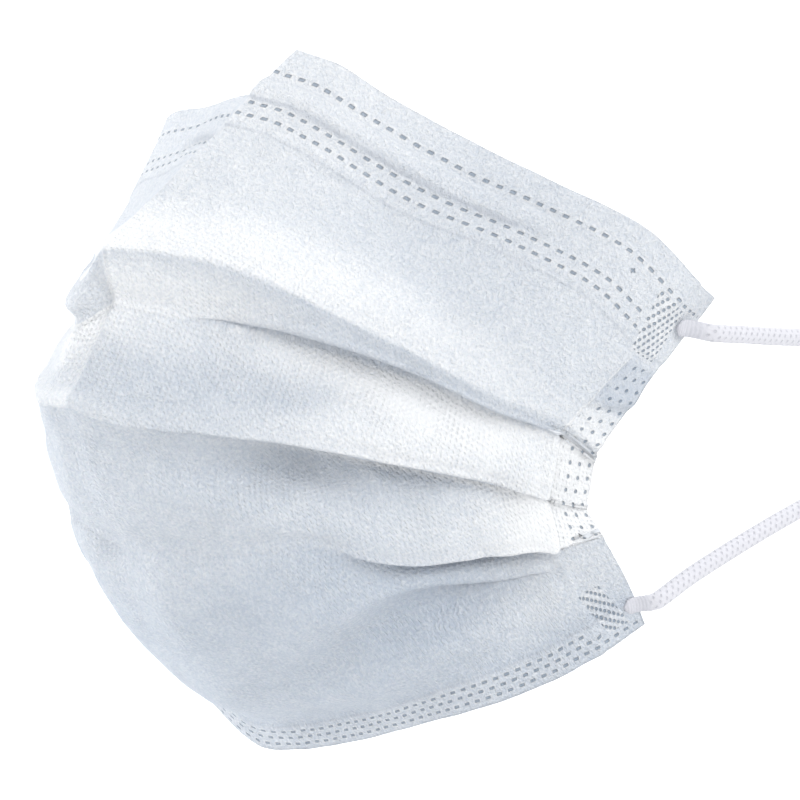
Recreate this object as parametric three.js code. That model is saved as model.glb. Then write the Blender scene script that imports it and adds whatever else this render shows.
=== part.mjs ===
// Reusable pleated face mask with two ear loops, in the form it takes when worn.
// Millimetres, +Z up. The wearer looks along -Y and the wearer's left is +X.
// The origin is the seat on the bridge of the nose, at the middle of the top edge.
import * as THREE from 'three';

// ---- driving sizes ----
const half_width = 87.5;      // cloth, from the centre line to the side edge
const cloth = 1.2;            // wall of the pleated body
const gap = 0.4;              // clearance between neighbouring solids
const hem_cloth = 0.8;        // turned-in hems
const top_hem_depth = 14.2;   // cloth turned in along the top edge
const nose_hem = { deeper: 0.26, from: 28, to: 52 };
const bottom_hem_depth = 5.2;
const wire = { half_length: 52, from_edge: 7.4, width: 3, thickness: 0.8 };
const cord_diameter = 2.8;

// ---- the worn form ----
// Cloth distance of each column from the centre line.
const reach = { keel: 0, nose: 8, flank: 20, cheek: 35, outer: 50, side: 65, seam: 78, edge: half_width };
const column_names = Object.keys(reach);
const knots = Object.values(reach);
const pieces_between_knots = [3, 3, 3, 3, 3, 3, 2];

// One row for each line across the left half; the right half mirrors it.
// crease: 1 is a sharp fold down the centre line, 0 is round.
// drop and forward: how far the right half hangs lower and stands prouder beside the centre line,
// narrow: how far its cheek is drawn in, and sink: how far its side hangs lower.
const sections = {
  top_edge: {
    keel: [0, -3.6, 0], nose: [3.8, 2, -1], flank: [12, 8.6, -4.8], cheek: [26, 14.6, -8.8],
    outer: [39.6, 19.2, -11.8], side: [52.6, 24.2, -15], seam: [58.4, 32, -21.6], edge: [57.6, 38, -23.7],
    crease: 0.3, drop: 1, forward: 0, narrow: 3, sink: 1.8,
  },
  fold_1: {
    keel: [0, -37, -34], nose: [6, -32, -33], flank: [15, -24, -33], cheek: [26, -15, -36],
    outer: [37, -5, -40], side: [46, 5, -44], seam: [53, 13, -46], edge: [57, 18, -49],
    crease: 1, drop: 7, forward: 2, narrow: 3.6, sink: 0,
  },
  under_1: {
    keel: [0, -32, -42], nose: [5, -28, -42], flank: [14, -20, -41], cheek: [26, -13, -41],
    outer: [37, -3, -43], side: [46, 5.5, -46], seam: [53, 13, -47.5], edge: [57, 18, -50.5],
    crease: 1, drop: 4.5, forward: 6, narrow: 1.2, sink: 0,
  },
  fold_2: {
    keel: [0, -37, -58], nose: [7, -33, -59], flank: [16, -26, -58], cheek: [26, -16, -57],
    outer: [36, -5, -57], side: [46, 6, -57], seam: [52.7, 14, -57.6], edge: [56, 19.8, -58],
    crease: 1, drop: 0, forward: 3, narrow: 0.3, sink: 0,
  },
  fold_3: {
    keel: [0, -19, -80], nose: [8, -19, -78], flank: [18, -15, -76], cheek: [29, -8, -72.5],
    outer: [38.8, 2.2, -72.3], side: [47.4, 11.6, -68], seam: [53.6, 18.2, -65.4], edge: [57.3, 24, -62.4],
    crease: 0.2, drop: 0, forward: 1, narrow: 2.8, sink: 0,
  },
  chin: {
    keel: [0, -8.5, -94], nose: [8, -9, -92.8], flank: [18, -4, -90], cheek: [29, 0, -86],
    outer: [40, 8, -79], side: [49, 16, -74], seam: [55, 23, -71], edge: [60, 29, -69],
    crease: 0, drop: 0, forward: 0, narrow: 2, sink: 0,
  },
  bottom_edge: {
    keel: [0, 21, -112], nose: [8, 21, -110], flank: [18, 21, -106], cheek: [30, 20, -100],
    outer: [42, 19, -94], side: [52, 23, -87], seam: [58, 29, -80], edge: [60, 35, -75],
    crease: 0, drop: 0, forward: 0, narrow: 0, sink: 0,
  },
};

// Each pleat's inner fold, tucked up behind the lip and set back from it, in three places:
// at the centre line, over the cheek and at the side edge.
const pleats = {
  pleat_1: { lip: 'under_1', above: 'fold_1', tuck: [0.4, 2.5, 2.5], recess: [0.4, 4.5, 1.2] },
  pleat_2: { lip: 'fold_2', above: 'under_1', tuck: [0.4, 3, 2.5], recess: [0.4, 6, 1.2] },
  pleat_3: { lip: 'fold_3', above: 'fold_2', tuck: [0.4, 2, 2.5], recess: [0.4, 2.5, 1.2] },
};

// Soft fold that runs down and forward across the chin panel from the end of the third pleat:
// its two ends as [cloth distance, share of the panel], its depth and its half width in mm.
const chin_fold = { from: [62, 0.04], to: [16, 0.62], depth: 2.5, half_width: 8, panel_height: 34 };
const top_panel_hollow = 1.5;   // how far the top panel sinks between its edge and its fold

// Left ear loop, from its weld at the top corner, round the back of the ear, to the bottom corner.
const ear_loop_route = [
  [60.3, 29.5, -29.2], [61.2, 34, -28.7], [61.9, 42, -28.3], [62.7, 51, -27.9], [63.8, 66, -26.9],
  [64.8, 80, -25.8], [65.5, 92, -24.8], [66, 101, -24.8], [66.2, 107.5, -28.4], [66.2, 109, -33.4],
  [66, 105.4, -37.9], [65.5, 96, -41.8], [64.9, 84, -46.3], [64.2, 72, -51.2], [63.5, 61, -56.2],
  [62.8, 51, -61.2], [62.5, 40.5, -66.5], [62.2, 33.4, -70.8], [60.9, 29.2, -73.1],
];
const cord_steps = 36;

// ---- the surface ----
const smooth = (low, high, value) => THREE.MathUtils.smoothstep(value, low, high);
const mix = (a, b, share) => a.clone().lerp(b, share);

// Value at cloth distance s of three values given at the centre line, the cheek and the edge.
function across([centre, cheek, edge], s) {
  const distance = Math.abs(s);
  const rise = smooth(4, reach.cheek, distance);
  const fall = smooth(reach.outer, reach.seam, distance);
  return centre + (cheek - centre) * rise + (edge - cheek) * fall;
}

// Point of a section at cloth distance s, negative on the right half: a cubic through its columns.
function section_point(name, s) {
  const row = sections[name];
  const distance = Math.min(Math.abs(s), half_width);
  const last = knots.length - 1;
  const column = (i) => new THREE.Vector3(...row[column_names[i]]);
  const slope = (i) => {
    const before = Math.max(i - 1, 0);
    const after = Math.min(i + 1, last);
    const value = column(after).sub(column(before)).divideScalar(knots[after] - knots[before]);
    return i === 0 ? value.multiply(new THREE.Vector3(1, row.crease, row.crease)) : value;
  };
  const i = Math.min(knots.findLastIndex((knot) => knot <= distance), last - 1);
  const span = knots[i + 1] - knots[i];
  const t = (distance - knots[i]) / span;
  const point = new THREE.Vector3()
    .addScaledVector(column(i), (1 + 2 * t) * (1 - t) ** 2)
    .addScaledVector(slope(i), span * t * (1 - t) ** 2)
    .addScaledVector(column(i + 1), t * t * (3 - 2 * t))
    .addScaledVector(slope(i + 1), span * t * t * (t - 1));
  if (s >= 0) return point;
  const beside = smooth(0, reach.nose, distance) * (1 - smooth(12, reach.outer, distance));
  const drawn_in = row.narrow * smooth(8, 30, distance) * (1 - smooth(50, 75, distance));
  const lower = row.drop * beside + row.sink * smooth(40, 60, distance);
  return point.set(drawn_in - point.x, point.y - row.forward * beside, point.z - lower);
}

// Outward direction of the cloth between two sections.
function outward(above, below, s) {
  const step = 0.5;
  const middle = (at) => mix(section_point(above, at), section_point(below, at), 0.5);
  const along = middle(s + step).sub(middle(s - step));
  const down = section_point(below, s).sub(section_point(above, s));
  return down.cross(along).normalize();
}

// A line of the cloth: its point on the outer face at s, the point that the layers behind it are
// offset from, and the two sections that it lies between.
function panel_line(above, below, share, raise = () => 0) {
  const outer = (s) => {
    const point = mix(section_point(above, s), section_point(below, s), share(s));
    return point.addScaledVector(outward(above, below, s), raise(s));
  };
  return { outer, backing: outer, above, below };
}

function pleat_lines(pleat, next) {
  const { lip, above, tuck, recess } = pleat;
  const depth = (s) => across(recess, s);
  const lip_point = (s) => section_point(lip, s);
  const valley = (s) => {
    const up = section_point(above, s).sub(lip_point(s)).normalize();
    return lip_point(s).addScaledVector(up, across(tuck, s))
      .addScaledVector(outward(above, next, s), -depth(s));
  };
  const behind = (s) => {
    const up = section_point(above, s).sub(lip_point(s)).normalize();
    return valley(s).addScaledVector(up, 1);
  };
  return [
    { outer: lip_point, backing: behind, above, below: next },
    { outer: valley, backing: valley, above, below: next },
  ];
}

// The top hem is turned in deeper over the nose, and the wire in it lies lower there.
const hem_depth = (distance, s) =>
  distance * (1 + nose_hem.deeper * (1 - smooth(nose_hem.from, nose_hem.to, Math.abs(s))));

// Share of the panel from `above` to `below` that lies `distance` mm down the hem's own scale.
const down_from = (above, below, distance) => (s) =>
  hem_depth(distance, s) / section_point(above, s).distanceTo(section_point(below, s));

// Height of the ridge that the nose wire raises in the cloth over it.
const wire_ridge = (s) =>
  wire.thickness * (1 - smooth(wire.half_length, wire.half_length + 3, Math.abs(s)));
const hollow = (value) => (s) => -top_panel_hollow * value * smooth(reach.flank, reach.outer, Math.abs(s));

const top_line = (distance, raise) =>
  panel_line('top_edge', 'fold_1', down_from('top_edge', 'fold_1', distance), raise);

// Line of the top panel a share of the way from the hem's lower edge to the first fold.
function below_hem(part, raise) {
  const hem = down_from('top_edge', 'fold_1', top_hem_depth);
  return panel_line('top_edge', 'fold_1', (s) => hem(s) + (1 - hem(s)) * part, raise);
}

// Chin panel: a parabola through the third fold, the chin and the bottom edge.
function chin_line(share) {
  const outer = (s) => {
    const amount = share(s);
    const point = new THREE.Vector3()
      .addScaledVector(section_point('fold_3', s), (1 - amount) * (1 - 2 * amount))
      .addScaledVector(section_point('chin', s), 4 * amount * (1 - amount))
      .addScaledVector(section_point('bottom_edge', s), amount * (2 * amount - 1));
    const height = chin_fold.panel_height;
    const from = new THREE.Vector2(chin_fold.from[0], chin_fold.from[1] * height);
    const run = new THREE.Vector2(chin_fold.to[0], chin_fold.to[1] * height).sub(from);
    const place = new THREE.Vector2(Math.abs(s), amount * height).sub(from);
    const along = THREE.MathUtils.clamp(place.dot(run) / run.lengthSq(), 0, 1);
    const away = place.addScaledVector(run, -along).length() / chin_fold.half_width;
    const depth = chin_fold.depth * Math.exp(-away * away);
    return point.addScaledVector(outward('fold_3', 'bottom_edge', s), -depth);
  };
  return { outer, backing: outer, above: 'fold_3', below: 'bottom_edge' };
}

// Share of the chin panel that lies `distance` mm above the bottom edge.
function above_bottom(distance) {
  return (s) => {
    const pace = section_point('bottom_edge', s).multiplyScalar(3)
      .addScaledVector(section_point('chin', s), -4).add(section_point('fold_3', s));
    return 1 - distance / pace.length();
  };
}

const ridge_half = wire.width / 2;
const [lip_1, valley_1] = pleat_lines(pleats.pleat_1, 'fold_2');
const [lip_2, valley_2] = pleat_lines(pleats.pleat_2, 'fold_3');
const [lip_3, valley_3] = pleat_lines(pleats.pleat_3, 'chin');

// The first pleat shows a band of its under layer between the fold and the lip.
const fold_1_line = {
  outer: (s) => section_point('fold_1', s),
  backing: (s) => section_point('fold_1', s)
    .addScaledVector(outward('top_edge', 'fold_2', s), -across(pleats.pleat_1.recess, s)),
  above: 'top_edge', below: 'fold_2',
};

// Line between a pleat's inner fold and the next lip down.
function below_valley(valley, name, share, bulge) {
  const outer = (s) => mix(valley.outer(s), section_point(name, s), share)
    .addScaledVector(outward(valley.above, name, s), bulge);
  return { outer, backing: outer, above: valley.above, below: name };
}

const top_panel = [
  top_line(0.01),
  top_line(wire.from_edge - ridge_half - 1),
  top_line(wire.from_edge - ridge_half, wire_ridge),
  top_line(wire.from_edge + ridge_half, wire_ridge),
  top_line(wire.from_edge + ridge_half + 1),
  top_line(top_hem_depth),
  below_hem(0.35, hollow(1)),
  below_hem(0.65, hollow(0.8)),
  below_hem(0.88, hollow(0.3)),
  fold_1_line,
];
const middle_panel = [lip_1, valley_1,
  ...[0.3, 0.6, 0.85].map((share) => below_valley(valley_1, 'fold_2', share, 0.6))];
const lower_panel = [lip_2, valley_2,
  ...[0.3, 0.6, 0.85].map((share) => below_valley(valley_2, 'fold_3', share, 0.6))];
const chin_panel = [lip_3, valley_3,
  ...[0.2, 0.4, 0.6, 0.8, 1].map((part) => chin_line((s) => part * above_bottom(bottom_hem_depth)(s))),
  chin_line(() => 1)];
const body_lines = [...top_panel, ...middle_panel, ...lower_panel, ...chin_panel];

// Point at a depth behind the outer face. Beside the sharp centre fold the layers are moved
// straight back, far enough to keep their thickness, so that the two halves never cross.
function layer_point(line, s, depth) {
  const facing = (at) => outward(line.above, line.below, at);
  const ahead = facing(0);
  const opening = THREE.MathUtils.clamp(ahead.dot(facing(reach.nose * 0.75)), 0.4, 1);
  const near = 1 - smooth(reach.nose, reach.flank, Math.abs(s));
  const direction = facing(s).lerp(ahead.divideScalar(opening), near);
  return line.backing(s).addScaledVector(direction, -depth);
}

// ---- solids ----
// Closed sheet between two grids of points of the same size, front facing out.
function closed_sheet(front, back) {
  const rows = front.length;
  const columns = front[0].length;
  const points = [...front.flat(), ...back.flat()];
  const index = [];
  const at = (row, column, side) => side * rows * columns + row * columns + column;
  const quad = (a, b, c, d) => index.push(a, b, c, a, c, d);
  for (let row = 0; row < rows - 1; row += 1) {
    for (let column = 0; column < columns - 1; column += 1) {
      quad(at(row, column, 0), at(row + 1, column, 0), at(row + 1, column + 1, 0), at(row, column + 1, 0));
      quad(at(row, column, 1), at(row, column + 1, 1), at(row + 1, column + 1, 1), at(row + 1, column, 1));
    }
    quad(at(row, 0, 1), at(row + 1, 0, 1), at(row + 1, 0, 0), at(row, 0, 0));
    quad(at(row, columns - 1, 0), at(row + 1, columns - 1, 0),
      at(row + 1, columns - 1, 1), at(row, columns - 1, 1));
  }
  for (let column = 0; column < columns - 1; column += 1) {
    quad(at(0, column, 1), at(0, column, 0), at(0, column + 1, 0), at(0, column + 1, 1));
    quad(at(rows - 1, column, 0), at(rows - 1, column, 1),
      at(rows - 1, column + 1, 1), at(rows - 1, column + 1, 0));
  }
  const geometry = new THREE.BufferGeometry().setFromPoints(points);
  geometry.setIndex(index);
  geometry.computeVertexNormals();
  return geometry;
}

// Cloth distances from one end to the other, through every knot of the table between them.
function cloth_columns(from, to) {
  const right_to_left = [];
  for (let i = 0; i < knots.length - 1; i += 1) {
    const parts = pieces_between_knots[i];
    for (let part = 0; part < parts; part += 1) {
      right_to_left.push(knots[i] + ((knots[i + 1] - knots[i]) * part) / parts);
    }
  }
  right_to_left.push(half_width);
  const all = [...right_to_left.slice(1).map((s) => -s).reverse(), ...right_to_left];
  const clear = 1;
  return [from, ...all.filter((s) => s > from + clear && s < to - clear), to];
}

function layer(lines, columns, depth) {
  return lines.map((line) => columns.map((s) => layer_point(line, s, depth)));
}

function band(lines, columns, depth, thickness) {
  return closed_sheet(layer(lines, columns, depth), layer(lines, columns, depth + thickness));
}

function pleated_body() {
  const columns = cloth_columns(-half_width, half_width);
  const front = body_lines.map((line) => columns.map((s) => line.outer(s)));
  return closed_sheet(front, layer(body_lines, columns, cloth));
}

function top_hem() {
  const lines = [0.6, wire.from_edge - ridge_half, wire.from_edge + ridge_half, top_hem_depth]
    .map((distance) => top_line(distance));
  return band(lines, cloth_columns(-half_width + gap, half_width - gap), cloth + 2 * gap, hem_cloth);
}

function bottom_hem() {
  const lines = [bottom_hem_depth, 0.6]
    .map((distance) => chin_line(above_bottom(distance)));
  return band(lines, cloth_columns(-half_width + gap, half_width - gap), cloth + gap, hem_cloth);
}

function nose_wire() {
  const lines = [-ridge_half, ridge_half].map((offset) => top_line(wire.from_edge + offset));
  const columns = cloth_columns(-wire.half_length, wire.half_length);
  return band(lines, columns, cloth - wire.thickness + gap, wire.thickness);
}

function round_section(width, thickness, sides) {
  const shape = new THREE.Shape();
  for (let i = 0; i < sides; i += 1) {
    const angle = (2 * Math.PI * (i + 0.5)) / sides;
    const x = (width / 2) * Math.cos(angle);
    const y = (thickness / 2) * Math.sin(angle);
    if (i === 0) shape.moveTo(x, y);
    else shape.lineTo(x, y);
  }
  shape.closePath();
  return shape;
}

function ear_loop(side) {
  const points = ear_loop_route.map(([x, y, z]) => new THREE.Vector3(side * x, y, z));
  const path = new THREE.CatmullRomCurve3(points, false, 'centripetal');
  return new THREE.ExtrudeGeometry(round_section(cord_diameter, cord_diameter, 8),
    { steps: cord_steps, bevelEnabled: false, extrudePath: path });
}

// ---- materials ----
const body_cloth = { color: 0xe6e9ee, roughness: 0.85, metalness: 0 };
const inner_cloth = { color: 0xf2f3f5, roughness: 0.9, metalness: 0 };
const coated_wire = { color: 0xf4f4f2, roughness: 0.5, metalness: 0 };
const elastic = { color: 0xf6f6f8, roughness: 0.8, metalness: 0 };

const mask = new THREE.Group();
function add(name, geometry, finish) {
  const mesh = new THREE.Mesh(geometry, new THREE.MeshStandardMaterial(finish));
  mesh.name = name;
  mask.add(mesh);
}

add('mask_body', pleated_body(), body_cloth);
add('top_hem', top_hem(), inner_cloth);
add('bottom_hem', bottom_hem(), inner_cloth);
add('nose_wire', nose_wire(), coated_wire);
add('ear_loop_left', ear_loop(1), elastic);
add('ear_loop_right', ear_loop(-1), elastic);

export default mask;
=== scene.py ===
"""Pleated face mask in its worn form: folded cloth body, hems, nose wire and two ear loops.

Everything is in metres in the part's own frame: the origin is the seat on the bridge of the nose,
+X is the wearer's left, the wearer looks along -Y and +Z is up. Sizes of the cloth are in
millimetres in the tables below, and MM turns them into metres.
"""
import math

import bpy
import numpy as np
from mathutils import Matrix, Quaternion, Vector, noise


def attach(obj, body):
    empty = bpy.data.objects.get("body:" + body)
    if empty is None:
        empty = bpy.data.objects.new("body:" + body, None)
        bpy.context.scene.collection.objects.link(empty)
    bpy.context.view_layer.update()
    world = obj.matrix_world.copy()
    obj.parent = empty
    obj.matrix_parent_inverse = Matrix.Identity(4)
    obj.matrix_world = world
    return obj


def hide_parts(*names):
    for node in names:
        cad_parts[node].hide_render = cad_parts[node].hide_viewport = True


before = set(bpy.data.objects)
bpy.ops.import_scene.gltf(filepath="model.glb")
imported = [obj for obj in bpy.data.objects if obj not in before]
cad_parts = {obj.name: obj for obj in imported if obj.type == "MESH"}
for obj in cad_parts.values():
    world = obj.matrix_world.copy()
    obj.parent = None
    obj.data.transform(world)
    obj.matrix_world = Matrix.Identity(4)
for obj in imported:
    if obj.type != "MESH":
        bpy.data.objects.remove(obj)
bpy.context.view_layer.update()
scene = bpy.context.scene
MM = 0.001
# A UV map holds its values, mostly distances in millimetres, divided by this.
MAP_SPAN = 100

# ---- the worn form, the same table as the part's own ----
HALF_WIDTH = 87.5
REACH = {"keel": 0, "nose": 8, "flank": 20, "cheek": 35, "outer": 50, "side": 65, "seam": 78,
         "edge": HALF_WIDTH}
COLUMNS = list(REACH)
KNOTS = np.array(list(REACH.values()), float)

# One row for each line across the left half; the right half mirrors it.
# crease: 1 is a sharp fold down the centre line, 0 is round.
# drop and forward: how far the right half hangs lower and stands prouder beside the centre line,
# narrow: how far its cheek is drawn in, and sink: how far its side hangs lower.
SECTIONS = {
    "top_edge": {
        "keel": (0, -3.6, 0), "nose": (3.8, 2, -1), "flank": (12, 8.6, -4.8),
        "cheek": (26, 14.6, -8.8), "outer": (39.6, 19.2, -11.8), "side": (52.6, 24.2, -15),
        "seam": (58.4, 32, -21.6), "edge": (57.6, 38, -23.7),
        "crease": 0.3, "drop": 1, "forward": 0, "narrow": 3, "sink": 1.8,
    },
    "fold_1": {
        "keel": (0, -37, -34), "nose": (6, -32, -33), "flank": (15, -24, -33),
        "cheek": (26, -15, -36), "outer": (37, -5, -40), "side": (46, 5, -44),
        "seam": (53, 13, -46), "edge": (57, 18, -49),
        "crease": 1, "drop": 7, "forward": 2, "narrow": 3.6, "sink": 0,
    },
    "under_1": {
        "keel": (0, -32, -42), "nose": (5, -28, -42), "flank": (14, -20, -41),
        "cheek": (26, -13, -41), "outer": (37, -3, -43), "side": (46, 5.5, -46),
        "seam": (53, 13, -47.5), "edge": (57, 18, -50.5),
        "crease": 1, "drop": 4.5, "forward": 6, "narrow": 1.2, "sink": 0,
    },
    "fold_2": {
        "keel": (0, -37, -58), "nose": (7, -33, -59), "flank": (16, -26, -58),
        "cheek": (26, -16, -57), "outer": (36, -5, -57), "side": (46, 6, -57),
        "seam": (52.7, 14, -57.6), "edge": (56, 19.8, -58),
        "crease": 1, "drop": 0, "forward": 3, "narrow": 0.3, "sink": 0,
    },
    "fold_3": {
        "keel": (0, -19, -80), "nose": (8, -19, -78), "flank": (18, -15, -76),
        "cheek": (29, -8, -72.5), "outer": (38.8, 2.2, -72.3), "side": (47.4, 11.6, -68),
        "seam": (53.6, 18.2, -65.4), "edge": (57.3, 24, -62.4),
        "crease": 0.2, "drop": 0, "forward": 1, "narrow": 2.8, "sink": 0,
    },
    "chin": {
        "keel": (0, -8.5, -94), "nose": (8, -9, -92.8), "flank": (18, -4, -90), "cheek": (29, 0, -86),
        "outer": (40, 8, -79), "side": (49, 16, -74), "seam": (55, 23, -71), "edge": (60, 29, -69),
        "crease": 0, "drop": 0, "forward": 0, "narrow": 2, "sink": 0,
    },
    "bottom_edge": {
        "keel": (0, 21, -112), "nose": (8, 21, -110), "flank": (18, 21, -106),
        "cheek": (30, 20, -100), "outer": (42, 19, -94), "side": (52, 23, -87),
        "seam": (58, 29, -80), "edge": (60, 35, -75),
        "crease": 0, "drop": 0, "forward": 0, "narrow": 0, "sink": 0,
    },
}

# Each pleat's hidden inner fold: how far it is tucked up behind the lip, how far the next panel
# starts behind the lip, and how far that panel still lies back a quarter of the way down.
# bead: the steps past the lip, and their lift, where the pleat has run out to a soft crease.
# right_opens: how far out from the centre line the right half's pleat is closed, and where it is
# fully open.
PLEATS = {
    "pleat_1": {
        "lip": "under_1", "above": "fold_1", "next": "fold_2", "panel": "middle_panel",
        "tuck": (0.4, 0.5, 2, 4, 4.5, 4, 2, 1.6),
        "recess": (0, 0, 0.8, 2.8, 3.2, 1.8, 0.3, 0.3),
        "hollow": (0, 0, 0.3, 1.0, 1.0, 0.3, 0, 0),
        "bead": ((-1.1, 0), (-0.4, 0), (0, 0.05), (0.3, 0), (0.5, 0), (0.7, 0)),
        "right_opens": (-1, 0),
    },
    "pleat_2": {
        "lip": "fold_2", "above": "under_1", "next": "fold_3", "panel": "lower_panel",
        "tuck": (0.4, 0.5, 2, 4.5, 5, 4, 2, 1.6),
        "recess": (0, 0, 0.9, 3.6, 4.0, 2.0, 0.4, 0.4),
        "hollow": (0, 0.2, 2.0, 3.4, 0, -0.5, 0, 0),
        "bead": ((-1.1, 0), (-0.4, 0.1), (0, 0.35), (0.3, 0.15), (0.5, 0), (0.7, -0.1)),
        "right_opens": (28, 52),
    },
    "pleat_3": {
        "lip": "fold_3", "above": "fold_2", "next": "chin", "panel": None,
        "tuck": (0, 0, 0, 0, 2, 3.5, 2, 1.6),
        "recess": (0, 0, 0, 0, 2.2, 3.8, 0.8, 0.4),
        "hollow": (0, 0, 0, 0, 1.4, 2.2, 0.4, 0),
        "bead": ((-2.4, 0), (-1.8, 0), (-1.3, 0), (-0.8, 0), (-0.4, 0), (0, 0)),
        "right_opens": (28, 52),
    },
}

# Swell of each panel's cloth out from the straight line between its folds, by share of its height.
SWELL = {
    "top_panel": (
        (0.3, (0, 0, 0, -0.6, -1.0, -0.6, 0, 0)),
        (0.55, (0, 0, 0, -0.9, -1.6, -1.0, -0.2, 0)),
        (0.78, (0, 0.2, 0.4, 0.2, -0.4, -0.4, 0, 0)),
        (0.92, (0, 0.2, 0.4, 0.5, 0.4, 0.2, 0, 0)),
    ),
    "middle_panel": (
        (0.55, (0, 0, 0, -0.2, 0.2, 0.5, 0.3, 0)),
        (0.8, (0, 0, 0.2, 0.6, 0.8, 0.6, 0.3, 0)),
    ),
    "lower_panel": (
        (0.5, (0.6, 0.9, 1.4, -0.1, 0.2, 0.5, 0.3, 0)),
        (0.78, (0.6, 0.6, 1.0, 0.9, 0.8, 0.6, 0.3, 0)),
    ),
}

# How far the right half's band between the first two folds swells out beside the centre line.
RIGHT_BELLY = 2

# Where hidden layers lie close behind the cloth it looks whiter, and the same amounts also hold
# painted light:
# how far they reach above each fold, how much they whiten it, partly real backing and partly painted
# light where the cloth faces the lamps, and how much painted light lightens the shade under each lip
# at the start of the next panel.
BACKING_AND_PAINTED_LIGHT = {
    "fold_1": {"reach": (11, 11, 12, 12, 10, 7, 4, 4),
               "share": (0.6, 0.42, 0.45, 0.55, 0.4, 0.2, 0.1, 0.2),
               "below": (0, 0, 0, 0, 0, 0, 0, 0)},
    "under_1": {"reach": (10, 10, 9, 5, 4, 4, 4, 4), "share": (0.8, 0.7, 0.6, 0.1, 0, 0, 0, 0),
                "below": (0.7, 0.5, 0.35, 0.75, 0.85, 0.4, 0, 0)},
    "fold_2": {"reach": (3, 3, 4, 7, 15, 17, 17, 17),
               "share": (0.3, 0.2, 0.1, 0.4, 0.75, 0.7, 0.65, 0.7),
               "below": (0, 0, 0, 0, 0, 0, 0, 0)},
    "fold_3": {"reach": (9, 9, 9, 10, 12, 14, 15, 15),
               "share": (0, 0, 0, 0.15, 0.45, 0.5, 1.3, 1.3), "below": (0, 0, 0, 0, 0, 0, 0, 0)},
}
MOST_BACKING_AND_LIGHT = 1.3
# Painted light on the cloth away from the folds, and below 0 painted shade: the top panel lighter all
# over, beside the centre line and by the sides, where it faces the light from above, and on the right
# half the band under the first fold in painted shade and the middle panel in painted light.
PAINTED_LIGHT = {"top_panel": 0.15, "top_middle": 0.25, "top_sides": 0.1, "right_band": -0.4,
          "right_panel": 0.35}

# Soft folds across the chin: their distance from the bottom edge, their lift and their width.
CHIN_FOLDS = {
    "ridge_from_fold_3": {
        "from_bottom": (24, 24.5, 26.5, 30, 28, 24, 20, 18),
        "lift": (0, 0.1, 0.7, 1.3, 0.9, 0, 0, 0), "width": 4.5,
    },
    "valley": {
        "from_bottom": (20, 20, 20.4, 20, 19.6, 18.8, 18, 17),
        "lift": (0, -0.2, -1.0, -2.8, -4.4, -4.4, -1.6, 0), "width": 4.8,
    },
    "ridge_below": {
        "from_bottom": (12, 12, 12, 12, 13, 15, 17, 17),
        "lift": (0, 0, 0.3, 0.8, 1.1, 0.9, 0.3, 0), "width": 4,
    },
}

# Fuller places on the right half beside the centre line: where they lie, their lift and reach.
FULLER = {
    "under_fold_2": {"s": -13, "from_top": 61.5, "lift": 0.8, "across": 8, "down": 3},
    "over_fold_3": {"s": -13, "from_top": 75.5, "lift": 1.2, "across": 11, "down": 5},
}

# The cloth's wall and the fold over each lip, the share of the wall left where folds are pressed
# flat and the mesh rows that this thinning spreads over, and the mesh columns across the mask.
CLOTH = {"wall": 0.5, "lip_fold": 1.2, "pressed": 0.2, "pressed_rows": 9, "columns": 256}
# A point well inside the mask, to tell which way is outwards.
INSIDE = (0, 40, -48)
# A small fold pressed into each side strip: where it lies at the seam, and how it climbs outwards.
STRIP_FOLD = {"from_top": 26, "slope": 0.33, "height": 0.9, "rise": 4.5}
WIRE = {"half_length": 52, "from_edge": 7.4, "width": 3, "height": 0.8, "dent_beside": 0.22}
TOP_HEM, BOTTOM_HEM = 14.2, 5.2
# The top hem is turned in deeper over the nose, and the bottom hem lifts under the chin.
NOSE_HEM = {"deeper": 0.26, "from": 28, "to": 52}
HEM_FLARE = (2.6, 2.5, 2.2, 1.4, 0.4, 0, 0, 0)
# The turned-in hems: their wall, how far behind the cloth they lie, and how much further behind
# the wire.
LINING = {"wall": 0.4, "inset": 0.9, "over_wire": 2.1}
# Steps of the cloth where the hems and the side strips begin, and the cloth's slow rumpling.
STEPS = {"top_hem": 0.3, "bottom_hem": 0.4, "strip": 0.4, "strip_edge": 0.3}
RUMPLES = ({"lift": 0.35, "scale": 14, "seed": 3.1}, {"lift": 0.2, "scale": 6, "seed": 8.7})

# Welds: rows of pressed rectangles along the hems, dots down the side strips, and fine patches
# over the loop ends. Distances are in millimetres from the edge that each one follows.
# mark and the rim entry: length, width and softness of a mark, and of the paler rim round it, which
# is a painted highlight.
WELDS = {
    "top_hem": {
        "pitch": 2.4, "mark": (1, 0.48, 0.1), "weld_rims_and_patches": (1.5, 1.0, 0.25),
        "rows": ({"from_edge": 4.4, "start": 0.3, "ends": 1.2},
                 {"from_edge": 10.0, "start": 1.0, "ends": 13.6},
                 {"from_edge": 12.1, "start": 0.4, "ends": 12.6}),
    },
    "bottom_hem": {
        "pitch": 2.2, "mark": (0.95, 0.44, 0.1), "weld_rims_and_patches": (1.4, 0.9, 0.2),
        "rows": ({"from_edge": 4.1, "start": 0, "ends": 11.4},
                 {"from_edge": 2.75, "start": 1.1, "ends": 8.8},
                 {"from_edge": 1.4, "start": 0, "ends": 1.2}),
    },
    "strip": {"width": 8.6, "across": 2.4, "down": 2.15, "start": 1.1, "slant": 0.2,
              "radius": 0.31, "from_top": 16.4, "from_bottom": 18},
    "spot": {"s": 67.8, "from_top": 6.5},
    "top_patch": {"middle": 8.7, "level": 10, "slant": -0.4, "width": 7.2, "height": 9.6,
                  "steps": ((0.3, 0.87), (1.46, 0.05))},
    "bottom_patch": {"middle": 6.4, "level": 6.2, "slant": 0.35, "width": 4.6, "height": 7.8,
                     "steps": ((0.68, 0.47), (-0.51, 1.16))},
}
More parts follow.
